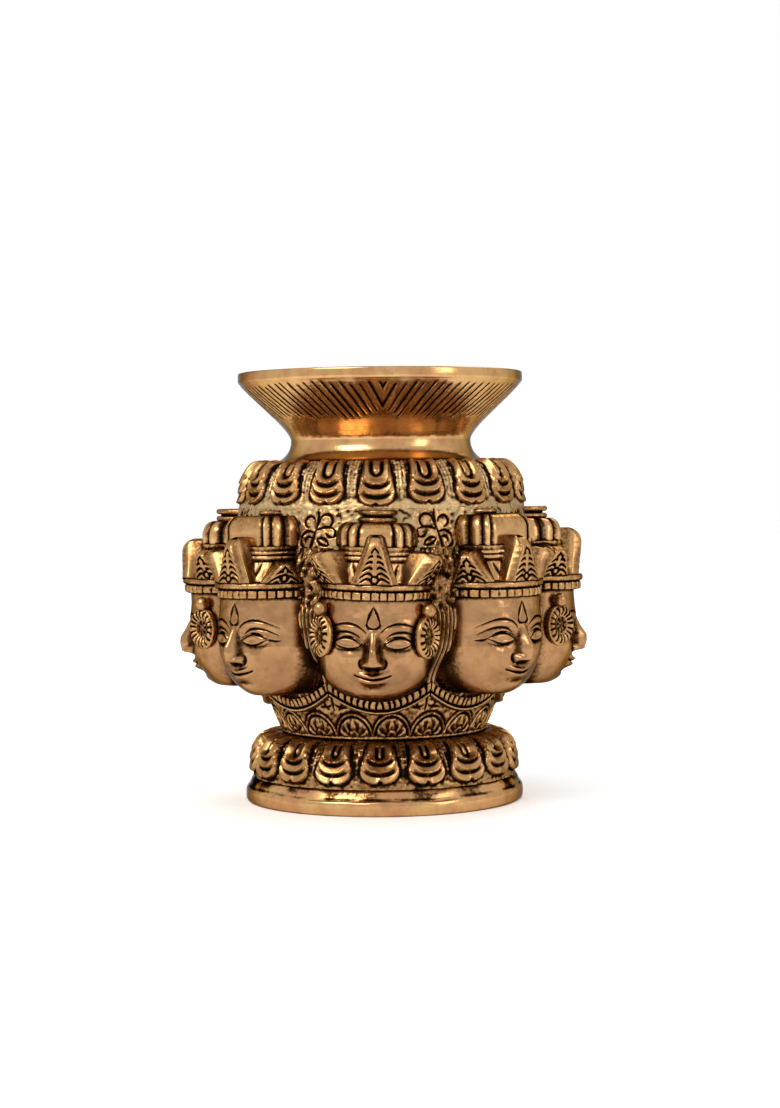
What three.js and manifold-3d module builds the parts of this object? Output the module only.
// A cast brass kalash, the round water pot of a household shrine: a turned mouth and neck, a shoulder
// of lotus petals, a bowl with eight crowned heads brazed round it, and a lotus foot on a plain rim.
// Millimetres, +Z up, origin at the centre of the face it stands on. Head 1 looks along -Y.
import * as THREE from "three";
import { mergeVertices } from "three/addons/utils/BufferGeometryUtils.js";
import Module from "manifold-3d";

const wasm = await Module();
wasm.setup();

const headCount = 8;
const petalCount = 18;

// Fits between castings
const brazeGap = 0.3; // room for the brazing metal between a head and the bowl
const registerFit = 0.2; // a turned spigot in its hole
const cutOverrun = 3; // how far a cutting tool runs past what it cuts

// Foot rim, the plain ring that the pot stands on
const rimBand = 3.8; // upright polished band
const rimSlope = 2.6; // height of the sloping top
const rimStep = 2.3; // how far the rim stands out past the lotus foot
const rimEase = 0.6; // rounding at the ground
const rimWidth = 3.6; // from the lotus foot's outside in to the rim's bore

// Lotus foot
const lotusFootRadius = 33.9;
const lotusFootHeight = 11.1;
const footLipDepth = 1.5; // the lip that centres the foot in the rim
const footLipWall = 1.7;
const footLipRoot = 1.5; // how deep the lip is fused into the foot
const throatStep = 0.5; // collar left outside the bowl

// Floor disc that closes the bowl, and the ledge in the foot that carries it
const floorThickness = 2.6;
const ledgeThickness = 2.2;
const ledgeWidth = 2.9;

// Bowl
const throatRadius = 26; // where the bowl stands on the foot
const bellyRadius = 38.6;
const bellyRiseShare = 0.765; // height of the widest place on the bowl
const bowlTopStep = 1.8; // the bowl's top edge inside its belly
const bowlWall = 2.6;
const bowlLipStep = 1.6; // the lip that centres the shoulder, inside the top edge
const bowlLipHeight = 1.6;

// Lotus shoulder
const shoulderHeight = 11.6;
const shoulderStep = 0.8; // belt of the bowl left bare outside the shoulder
const shoulderTopRadius = 28.5;
const shoulderWall = 2.5;

// Mouth and neck
const neckSeat = 2.5; // width of the flange that rests on the shoulder
const spigotDepth = 2.5;
const spigotWall = 1.8;
const waistRadius = 23.3;
const waistRise = 5.4; // shoulder to waist
const coneRise = 14.7; // waist to the band of the lip
const coneStart = 4.1; // how far the cone leaves the waist upright
const coneEnd = 5.2; // how far it runs straight into the lip
const coneEndSlope = THREE.MathUtils.degToRad(54);
const mouthRadius = 36.8;
const lipBand = 2.8;
const lipEase = 0.45;
const lipWidth = 2.2;
const neckWall = 2.2;

// Petals of both lotus rings
const petalHalfWidth = 4.7; // at its tip
const petalTopHalfWidth = 2.9;
const petalLift = 1.7; // relief of the highest tier

// Heads
const headHalfWidth = 14.6;
const faceHeight = 24.2; // chin to the lower edge of the crown
const headInset = 2.6; // the head's widest plane inside the belly
const faceStandoff = 11.4; // forehead in front of the belly
const chinSetback = 4.2; // the face leans, so the chin lies behind the forehead
const collarZone = 12; // from the top of the foot up to the chin

// Crown and the cap inside it
const crownHalfWidth = 13.6;
const crownStep = 1.4; // crown in front of the forehead
const beadBand = 2.3;
const crownFillet = 1.6;
const filletStep = 0.5;
const capInset = 3.2;
const capRise = 5.3;
const capDraw = 1.7; // how far the cap draws in on the way up
const capFillet = 3.4;

// Leaves on the crown
const leafHalfWidth = 5.2;
const leafThickness = 5; // back to the cap
const leafBevel = 1.3; // its carved front is narrower than its back
const leafRoot = 0.8; // how deep a leaf is fused into the crown
const leafHeight = 11;
const leafLean = THREE.MathUtils.degToRad(1);
const sideLeafHeight = 8.8;
const sideLeafLean = THREE.MathUtils.degToRad(20);
const sideLeafTurn = THREE.MathUtils.degToRad(60);

// Knot of hair above the cap, and the two flat discs tied on it
const knotHalfWidth = 10.1;
const knotStandoff = 7.6; // its front, in front of the belly
const knotHeight = 5.8;
const knotPanel = 4.35; // half width of its flat front
const knotRound = 1.5; // how far its top draws in
const knotRoundHeight = 2.4;
const knotFlutes = 3;
const fluteDepth = 0.8;
const discHalfWidth = 5.6;
const discThickness = 1.3;
const discSpacing = 0.5;
const discSetback = 2.2;
const discNeckStep = 0.9;

// Ear ornaments
const earringRadius = 4.6;
const earringWidthShare = 0.82; // egg shape: width over height
const earringThickness = 2.2;
const earringDome = 1.2;
const earringFlatShare = 0.7; // flat front of the dome
const earringSideShare = 0.82; // how far round the cheek it hangs
const earringDrop = 8.4; // its centre below the crown
const studRadius = 1.8;
const studOverlap = 0.7;

// Necklaces
const necklaceDrop = 5.2; // lowest edge below the chin
const necklaceSag = 4.7; // lowest edge below the two ends
const necklaceBeads = 2.4; // width of the ribbed band
const necklaceRidge = 1.1; // width of the plain ridge outside it
const necklaceLift = 1.1;
const necklaceRidgeLift = 1.7;

// How finely round forms are faceted
const facets = 4 * headCount;
const wallSteps = 5;
const insideSteps = 3;
const domeSteps = 2;
const neckSteps = 4;
const crownSteps = 6;
const necklaceSteps = 7;
const earringFacets = 8;

// Heights, stacked from the ground up
const rimTop = rimBand + rimSlope;
const footTop = rimTop + lotusFootHeight;
const floorBase = footTop - floorThickness;
const chinHeight = footTop + collarZone;
const crownBase = chinHeight + faceHeight;
const filletBase = crownBase + beadBand;
const crownShelf = filletBase + crownFillet;
const capFilletBase = crownShelf + capRise;
const knotBase = capFilletBase + capFillet;
const knotTop = knotBase + knotHeight;
const upperDiscBase = knotTop + discThickness + discSpacing;
const bowlTop = upperDiscBase + discThickness + brazeGap;
const bowlLipTop = bowlTop + bowlLipHeight;
const shoulderTop = bowlTop + shoulderHeight;
const waistHeight = shoulderTop + waistRise;
const lipBase = waistHeight + coneRise;
const mouthTop = lipBase + lipBand;

// Radii that follow from the sizes above
const rimRadius = lotusFootRadius + rimStep;
const rimBore = lotusFootRadius - rimWidth;
const footLipRadius = rimBore - registerFit;
const ledgeRadius = throatRadius - bowlWall;
const bowlTopRadius = bellyRadius - bowlTopStep;
const bowlLipRadius = bowlTopRadius - bowlLipStep;
const bowlMouthRadius = bowlTopRadius - bowlWall - registerFit;
const spigotRadius = shoulderTopRadius - neckSeat;
const headCentre = bellyRadius - headInset;
const headReach = headInset + faceStandoff;
const crownReach = headReach + crownStep;
const halfSector = Math.PI / headCount;
const quarter = Math.PI / 2;

// Closed mesh to solid and back

function solidOf(geometry) {
  const bare = new THREE.BufferGeometry();
  bare.setAttribute("position", geometry.getAttribute("position"));
  bare.setIndex(geometry.index);
  const merged = mergeVertices(bare);
  const vertProperties = new Float32Array(merged.attributes.position.array);
  const triVerts = new Uint32Array(merged.index.array);
  return new wasm.Manifold(new wasm.Mesh({ numProp: 3, vertProperties, triVerts }));
}

function meshOf(name, solid, color, roughness) {
  const { vertProperties, triVerts } = solid.getMesh();
  const indexed = new THREE.BufferGeometry();
  indexed.setAttribute("position", new THREE.BufferAttribute(vertProperties, 3));
  indexed.setIndex(new THREE.BufferAttribute(triVerts, 1));
  const faceted = indexed.toNonIndexed();
  faceted.computeVertexNormals();
  const brass = new THREE.MeshStandardMaterial({ color, roughness, metalness: 1 });
  const mesh = new THREE.Mesh(faceted, brass);
  mesh.name = name;
  return mesh;
}

function skin(points, index) {
  const geometry = new THREE.BufferGeometry();
  geometry.setFromPoints(points);
  geometry.setIndex(index);
  return solidOf(geometry);
}

// A closed profile of [radius, height], anticlockwise, turned about the Z axis
function turned(profile) {
  const points = [...profile, profile[0]].map(([radius, height]) => new THREE.Vector2(radius, height));
  return solidOf(new THREE.LatheGeometry(points, facets).rotateX(quarter));
}

// An outline of [x, y], extruded upwards from a base height
function slab(outline, base, thickness) {
  const shape = new THREE.Shape(outline.map(([x, y]) => new THREE.Vector2(x, y)));
  const geometry = new THREE.ExtrudeGeometry(shape, { depth: thickness, bevelEnabled: false });
  return solidOf(geometry.translate(0, 0, base));
}

// A skin over closed loops, anticlockwise as seen from the last one, with a fan at both ends
function lofted(loops) {
  const width = loops[0].length;
  const last = (loops.length - 1) * width;
  const index = [];
  for (let start = 0; start < last; start += width) {
    for (let i = 0; i < width; i++) {
      const a = start + i;
      const b = start + ((i + 1) % width);
      index.push(a, b, b + width);
      index.push(a, b + width, a + width);
    }
  }
  for (let i = 1; i + 1 < width; i++) {
    index.push(0, i + 1, i);
    index.push(last, last + i, last + i + 1);
  }
  return skin(loops.flat(), index);
}

function steps(count, shape) {
  return Array.from({ length: count + 1 }, (_, i) => shape(i / count));
}

// Bowl: swells from the throat to the belly as a sine, and draws in to its top as a cosine

function bowlRadius(height) {
  const belly = footTop + bellyRiseShare * (bowlTop - footTop);
  if (height > belly) {
    const rise = (height - belly) / (bowlTop - belly);
    return bowlTopRadius + bowlTopStep * Math.cos(rise * quarter);
  }
  const rise = Math.max(0, height - footTop) / (belly - footTop);
  return throatRadius + (bellyRadius - throatRadius) * Math.sin(rise * quarter);
}

function bowlSide(offset, count) {
  return steps(count, (share) => {
    const height = footTop + share * (bowlTop - footTop);
    return [bowlRadius(height) + offset, height];
  });
}

function makeBowl() {
  const lip = [
    [bowlLipRadius, bowlTop],
    [bowlLipRadius, bowlLipTop],
    [bowlMouthRadius, bowlLipTop],
  ];
  const inside = bowlSide(-bowlWall, insideSteps).slice(0, -1);
  return turned([...bowlSide(0, wallSteps), ...lip, ...inside.reverse()]);
}

// What the bowl fills, grown by the room for brazing
function bowlBlank() {
  const below = [throatRadius + brazeGap, 0];
  const above = [bowlTopRadius + brazeGap, shoulderTop];
  return turned([[0, 0], below, ...bowlSide(brazeGap, wallSteps), above, [0, shoulderTop]]);
}

// The wedge that belongs to one head, less half of the gap to its neighbours
function headSector() {
  const far = 2 * (headCentre + crownReach);
  const apex = brazeGap / 2 / Math.sin(halfSector);
  const spread = (far - apex) * Math.tan(halfSector);
  return slab([[0, -apex], [-spread, -far], [spread, -far]], 0, shoulderTop);
}

// Lotus rings: a dome, as a quarter of an ellipse, with rows of petals that swell in three tiers

const shoulderDome = {
  topRadius: shoulderTopRadius,
  topHeight: shoulderTop,
  footRadius: bowlTopRadius - shoulderStep,
  footHeight: bowlTop,
};
const footDome = {
  topRadius: throatRadius + throatStep,
  topHeight: footTop,
  footRadius: lotusFootRadius,
  footHeight: rimTop,
};

// A place on a dome: turn runs from 0 at its top to a quarter circle at its foot
function domePoint(dome, turn, lift) {
  const width = dome.footRadius - dome.topRadius;
  const rise = dome.topHeight - dome.footHeight;
  const outward = new THREE.Vector2(rise * Math.sin(turn), width * Math.cos(turn)).normalize();
  const radius = dome.topRadius + width * Math.sin(turn) + lift * outward.x;
  const height = dome.footHeight + rise * Math.cos(turn) + lift * outward.y;
  return [radius, height];
}

function domeSide(dome, count) {
  return steps(count, (share) => domePoint(dome, (1 - share) * quarter, 0));
}

// Rows down the dome: how far down, the relief of the tongue, and the relief of the sides
const petalRowShares = [
  { down: 0, tongue: 0, sides: 0 },
  { down: 0.28, tongue: 0.6, sides: 0.35 },
  { down: 0.6, tongue: 1, sides: 0.7 },
  { down: 0.67, tongue: 0.7, sides: 0.7 },
  { down: 0.82, tongue: 0.95, sides: 0.8 },
  { down: 0.96, tongue: 1, sides: 0.7 },
  { down: 1, tongue: 0, sides: 0 },
];
const petalTongueShare = 0.48; // half width of the tongue, as a share of the petal's
const petalSideShare = 0.9;
const petalRootShare = 1.1;
const petalTipShare = 0.12; // how far a petal's sides end above its tip

// A lotus ring: the skin with its petals, less the hollow inside
function lotusRing(dome, hollow) {
  const loops = petalRowShares.toReversed().map(({ down, tongue, sides }) => {
    const halfWidth = petalTopHalfWidth + (petalHalfWidth - petalTopHalfWidth) * down;
    const half = [
      [petalTongueShare, tongue],
      [petalSideShare, sides],
      [petalRootShare, 0],
    ];
    const whole = [...half.map(([side, lift]) => [-side, lift]).reverse(), ...half];
    const loop = [];
    for (let i = 0; i < petalCount; i++) {
      for (const [side, lift] of whole) {
        const turn = (down - petalTipShare * side ** 2 * Math.sin(down * Math.PI)) * quarter;
        const [radius, height] = domePoint(dome, turn, lift * petalLift);
        const angle = (2 * Math.PI * i) / petalCount + (side * halfWidth) / radius;
        loop.push(new THREE.Vector3(radius * Math.sin(angle), -radius * Math.cos(angle), height));
      }
    }
    return loop;
  });
  return lofted(loops).subtract(turned(hollow));
}

function makeShoulder() {
  const hole = spigotRadius + registerFit;
  const recess = bowlLipRadius + registerFit;
  const ceiling = {
    topRadius: hole,
    topHeight: shoulderTop - shoulderWall,
    footRadius: bowlMouthRadius,
    footHeight: bowlLipTop + registerFit,
  };
  return lotusRing(shoulderDome, [
    [0, bowlTop - cutOverrun],
    [recess, bowlTop - cutOverrun],
    [recess, ceiling.footHeight],
    ...domeSide(ceiling, domeSteps),
    [hole, shoulderTop + cutOverrun],
    [0, shoulderTop + cutOverrun],
  ]);
}

function makeLotusFoot() {
  const cavity = {
    topRadius: ledgeRadius - ledgeWidth,
    topHeight: floorBase - ledgeThickness,
    footRadius: footLipRadius - footLipWall,
    footHeight: rimTop - footLipDepth,
  };
  const lip = turned([
    [cavity.footRadius, cavity.footHeight],
    [footLipRadius, cavity.footHeight],
    [footLipRadius, rimTop + footLipRoot],
    [cavity.footRadius, rimTop + footLipRoot],
  ]);
  const ring = lotusRing(footDome, [
    [0, rimTop - cutOverrun],
    [cavity.footRadius, rimTop - cutOverrun],
    ...domeSide(cavity, domeSteps),
    [cavity.topRadius, floorBase],
    [ledgeRadius, floorBase],
    [ledgeRadius, footTop + cutOverrun],
    [0, footTop + cutOverrun],
  ]);
  return ring.add(lip);
}

function makeFootRim() {
  return turned([
    [rimBore, 0],
    [rimRadius - rimEase, 0],
    [rimRadius, rimEase],
    [rimRadius, rimBand],
    [lotusFootRadius + rimEase, rimTop],
    [rimBore, rimTop],
  ]);
}

function makeFloorDisc() {
  const radius = ledgeRadius - registerFit;
  return turned([[0, floorBase], [radius, floorBase], [radius, footTop], [0, footTop]]);
}

// Mouth and neck

function conePoints(waist, edge, top) {
  const curve = new THREE.CubicBezierCurve(
    new THREE.Vector2(waist, waistHeight),
    new THREE.Vector2(waist, waistHeight + coneStart),
    new THREE.Vector2(edge - coneEnd * Math.sin(coneEndSlope), top - coneEnd * Math.cos(coneEndSlope)),
    new THREE.Vector2(edge, top),
  );
  return curve.getPoints(neckSteps).map((point) => point.toArray());
}

function makeMouthAndNeck() {
  const flare = steps(domeSteps, (share) => [
    waistRadius + (shoulderTopRadius - waistRadius) * (1 - Math.sin(share * quarter)),
    waistHeight - waistRise * Math.cos(share * quarter),
  ]);
  return turned([
    [spigotRadius - spigotWall, shoulderTop - spigotDepth],
    [spigotRadius, shoulderTop - spigotDepth],
    [spigotRadius, shoulderTop],
    ...flare.slice(0, -1),
    ...conePoints(waistRadius, mouthRadius - lipEase, lipBase),
    [mouthRadius, lipBase + lipEase],
    [mouthRadius, mouthTop - lipEase],
    [mouthRadius - lipEase, mouthTop],
    ...conePoints(waistRadius - neckWall, mouthRadius - lipWidth, mouthTop).reverse(),
  ]);
}

// Heads, on plain thirds: side is a share of the half width, rise a share of the face height

const headSideShares = [0, 0.09, 0.2, 0.4, 0.62, 0.84, 1];
const headRiseShares = [0, 0.07, 0.15, 0.195, 0.228, 0.262, 0.33, 0.38, 0.45, 0.53, 0.585, 0.68, 1];
const jawRiseShare = 0.52; // up to here the jaw widens
const jawWidthShare = 0.3;
const chinRiseShare = 0.3; // up to here the chin comes forward
const chinDepthShare = 0.72;
const browWidthShare = 0.97; // the head under the crown
const ovalPower = 2.2; // 2 is an oval, and more is squarer

// Raised and sunk places: side, rise, spread across, spread up, and relief in the face height
const faceFormShares = [
  [0, 0.53, 0.1, 0.13, 0.075], // bridge of the nose
  [0, 0.4, 0.13, 0.07, 0.14], // tip of the nose
  [0.16, 0.365, 0.09, 0.035, 0.055], // wing of the nose
  [0.4, 0.59, 0.26, 0.085, -0.085], // eye socket
  [0.41, 0.58, 0.16, 0.045, 0.09], // eye under its lid
  [0.43, 0.69, 0.3, 0.035, 0.03], // brow
  [0, 0.26, 0.2, 0.022, 0.05], // upper lip
  [0, 0.195, 0.17, 0.024, 0.05], // lower lip
  [0, 0.08, 0.24, 0.06, 0.035], // chin
  [0.5, 0.37, 0.28, 0.13, 0.02], // cheek
];

function faceRelief(side, rise) {
  const forms = faceFormShares.map(([at, up, across, tall, relief]) => {
    const away = ((Math.abs(side) - at) / across) ** 2 + ((rise - up) / tall) ** 2;
    return relief * Math.exp(-away);
  });
  return faceHeight * forms.reduce((sum, relief) => sum + relief);
}

function bulge(share) {
  return Math.sqrt(1 - (1 - Math.min(share, 1)) ** 2);
}

// Half width and depth of the head at a rise, without its features
function headSection(rise) {
  const brow = 1 - ((1 - browWidthShare) * Math.max(0, rise - jawRiseShare)) / (1 - jawRiseShare);
  const jaw = jawWidthShare + (1 - jawWidthShare) * bulge(rise / jawRiseShare);
  const chin = chinDepthShare + (1 - chinDepthShare) * bulge(rise / chinRiseShare);
  const setback = chinSetback * Math.max(0, 1 - rise / jawRiseShare);
  return { halfWidth: headHalfWidth * jaw * brow, depth: headReach * chin * brow - setback };
}

function headForward(side, rise) {
  const round = (1 - Math.abs(side) ** ovalPower) ** (1 / ovalPower);
  return round * (headSection(rise).depth + faceRelief(side, rise));
}

// A place on the side of the head, and the angle at which the surface there looks outwards
function cheekPoint(side, rise) {
  return [side * headSection(rise).halfWidth, headCentre + headForward(side, rise)];
}

function cheekTurn(side, rise) {
  const sideStepShare = 0.06;
  const [innerAcross, innerForward] = cheekPoint(side - sideStepShare, rise);
  const [outerAcross, outerForward] = cheekPoint(side + sideStepShare, rise);
  return Math.atan2(innerForward - outerForward, outerAcross - innerAcross);
}

// Two points inside the bowl close a front curve that is open at the back
function closedBehind(front) {
  const first = front[0];
  const last = front[front.length - 1];
  const inside = -throatRadius / 2;
  return [...front, new THREE.Vector3(last.x, inside, last.z), new THREE.Vector3(first.x, inside, first.z)];
}

function headBlank() {
  const sides = [...headSideShares.slice(1).map((side) => -side).reverse(), ...headSideShares];
  const loops = headRiseShares.map((rise) => {
    const front = sides.map((side) => {
      const across = side * headSection(rise).halfWidth;
      const forward = headCentre + headForward(side, rise);
      return new THREE.Vector3(across, -forward, chinHeight + rise * faceHeight);
    });
    return closedBehind(front);
  });
  return lofted(loops);
}

// Crown: half ovals stacked as a band, its fillet, the cap inside and the fillet round its top
function crownBlank() {
  const oval = (height, inset) => {
    const front = steps(crownSteps, (share) => {
      const turn = (2 * share - 1) * quarter;
      const across = (crownHalfWidth - inset) * Math.sin(turn);
      return new THREE.Vector3(across, -headCentre - (crownReach - inset) * Math.cos(turn), height);
    });
    return closedBehind(front);
  };
  const capTopInset = capInset + capDraw;
  return lofted([
    oval(crownBase, 0),
    oval(filletBase, 0),
    oval(filletBase, -filletStep),
    oval(crownShelf, -filletStep),
    oval(crownShelf, capInset),
    oval(capFilletBase, capTopInset),
    oval(capFilletBase, capTopInset - filletStep),
    oval(knotBase, capTopInset - filletStep),
  ]);
}

// Half outline of a leaf from its foot to its point: how wide, and how high
const leafOutlineShares = [
  [1, 0],
  [0.32, 1],
];

// A leaf leans outwards from its foot, and is turned to its place on the crown
function crownLeaf(height, turn, lean) {
  const stand = filletStep - leafThickness;
  const foot = new THREE.Vector3(
    (crownHalfWidth + stand) * Math.sin(turn),
    -headCentre - (crownReach + stand) * Math.cos(turn),
    crownShelf,
  );
  const place = new THREE.Matrix4().makeRotationZ(turn).setPosition(foot);
  place.multiply(new THREE.Matrix4().makeRotationX(lean));
  const loop = (forward, bevel) => {
    const side = leafOutlineShares.map(([wide, high]) => [
      wide * (leafHalfWidth - bevel),
      high * (height + leafRoot - bevel) - leafRoot,
    ]);
    return mirrored(side).map(([across, up]) =>
      new THREE.Vector3(across, -forward, up).applyMatrix4(place),
    );
  };
  return lofted([loop(0, 0), loop(leafThickness, leafBevel)]);
}

function crownWithLeaves() {
  return crownBlank()
    .add(crownLeaf(leafHeight, 0, leafLean))
    .add(crownLeaf(sideLeafHeight, sideLeafTurn, sideLeafLean))
    .add(crownLeaf(sideLeafHeight, -sideLeafTurn, sideLeafLean));
}

// Knot of hair: a flat panel in front, flutes round both sides, and two discs on top

function mirrored(half) {
  return [...half, ...half.map(([x, y]) => [-x, y]).reverse()];
}

function knotLoop(height, round) {
  const depth = headInset + knotStandoff - round;
  const corner = (turn, inset) => [
    knotPanel + (knotHalfWidth - knotPanel - round - inset) * Math.sin(turn),
    -headCentre - (depth - inset) * Math.cos(turn),
  ];
  const flutes = Array.from({ length: knotFlutes }, (_, i) => [
    corner((i / knotFlutes) * quarter, fluteDepth),
    corner(((i + 0.5) / knotFlutes) * quarter, 0),
  ]);
  const front = [knotPanel, -headCentre - depth];
  const back = [knotHalfWidth - fluteDepth, -throatRadius / 2];
  const whole = mirrored([front, ...flutes.flat(), corner(quarter, fluteDepth), back]);
  return whole.map(([x, y]) => new THREE.Vector3(x, y, height));
}

function discOutline(inset) {
  const depth = headInset + knotStandoff - discSetback - inset;
  const front = steps(domeSteps, (share) => [
    (discHalfWidth - inset) * Math.sin(share * quarter),
    -headCentre - depth * Math.cos(share * quarter),
  ]);
  return mirrored([...front.slice(1), [discHalfWidth - inset, -throatRadius / 2]]);
}

function knotBlank() {
  const body = lofted([
    knotLoop(knotBase, 0),
    knotLoop(knotTop - knotRoundHeight, 0),
    knotLoop(knotTop, knotRound),
  ]);
  return body
    .add(slab(discOutline(0), knotTop, discThickness))
    .add(slab(discOutline(discNeckStep), knotTop, discThickness + discSpacing + discThickness))
    .add(slab(discOutline(0), upperDiscBase, discThickness));
}

// Ear ornament: an egg-shaped domed disc lying against the cheek, and a round stud above it
function makeEarring(side) {
  const profile = [
    [0, 0],
    [earringRadius, 0],
    [earringRadius, earringThickness - earringDome],
    [earringFlatShare * earringRadius, earringThickness],
    [0, earringThickness],
    [0, 0],
  ];
  const disc = new THREE.LatheGeometry(
    profile.map(([x, y]) => new THREE.Vector2(x, y)),
    earringFacets,
  );
  disc.rotateX(quarter).scale(earringWidthShare, 1, 1);
  const stud = new THREE.IcosahedronGeometry(studRadius);
  stud.translate(0, earringRadius + studRadius - studOverlap, earringThickness / 2);
  const rise = 1 - earringDrop / faceHeight;
  const [across, forward] = cheekPoint(earringSideShare, rise);
  const place = new THREE.Matrix4().makeRotationZ(side * cheekTurn(earringSideShare, rise));
  place.multiply(new THREE.Matrix4().makeRotationX(quarter));
  place.multiply(new THREE.Matrix4().makeTranslation(0, 0, brazeGap));
  place.premultiply(
    new THREE.Matrix4().makeTranslation(side * across, -forward, crownBase - earringDrop),
  );
  return solidOf(disc.applyMatrix4(place)).add(solidOf(stud.applyMatrix4(place)));
}

// Necklace: a ribbed band and a plain ridge that lie on the bowl below the chin
function makeNecklace() {
  const width = necklaceBeads + necklaceRidge;
  const loops = steps(necklaceSteps, (share) => {
    const across = 2 * share - 1;
    const low = chinHeight - necklaceDrop + necklaceSag * across ** 2;
    const point = (up, lift) => {
      const radius = bowlRadius(low + up) + lift;
      const angle = across * (halfSector - brazeGap / 2 / bowlRadius(low));
      return new THREE.Vector3(radius * Math.sin(angle), -radius * Math.cos(angle), low + up);
    };
    return [
      point(0, brazeGap),
      point(width, brazeGap),
      point(width, necklaceLift),
      point(necklaceRidge, necklaceLift),
      point(necklaceRidge, necklaceRidgeLift),
      point(0, necklaceRidgeLift),
    ];
  });
  return lofted(loops);
}

// The pot from the ground up, and the pieces of one head repeated round it

const kalash = new THREE.Group();
kalash.add(meshOf("foot_rim", makeFootRim(), 0xc49552, 0.3));
kalash.add(meshOf("lotus_foot", makeLotusFoot(), 0xa9783f, 0.42));
kalash.add(meshOf("floor_disc", makeFloorDisc(), 0x9a7440, 0.5));
kalash.add(meshOf("bowl", makeBowl(), 0x8f6f3e, 0.5));
kalash.add(meshOf("lotus_shoulder", makeShoulder(), 0xa9783f, 0.42));
kalash.add(meshOf("mouth_and_neck", makeMouthAndNeck(), 0xd09a50, 0.25));

const bowlCut = bowlBlank();
const sector = headSector();
const fitted = (blank) => blank.subtract(bowlCut).intersect(sector);
const headPieces = [
  { name: "head", solid: fitted(headBlank()), color: 0xbe8c50, roughness: 0.35 },
  { name: "crown", solid: fitted(crownWithLeaves()), color: 0xa67c45, roughness: 0.42 },
  { name: "hair_knot", solid: fitted(knotBlank()), color: 0xae8048, roughness: 0.4 },
  { name: "left_earring", solid: makeEarring(1), color: 0x9c713e, roughness: 0.42, earring: true },
  { name: "right_earring", solid: makeEarring(-1), color: 0x9c713e, roughness: 0.42, earring: true },
  { name: "necklace", solid: makeNecklace(), color: 0x9c713e, roughness: 0.42 },
];
for (let i = 0; i < headCount; i++) {
  const place = new THREE.Group();
  place.rotation.z = 2 * halfSector * i;
  const wearsEarrings = i % 2 === 0;
  for (const { name, solid, color, roughness, earring } of headPieces) {
    if (wearsEarrings || !earring) {
      place.add(meshOf(`${name}_${i + 1}`, solid, color, roughness));
    }
  }
  kalash.add(place);
}

export default kalash;
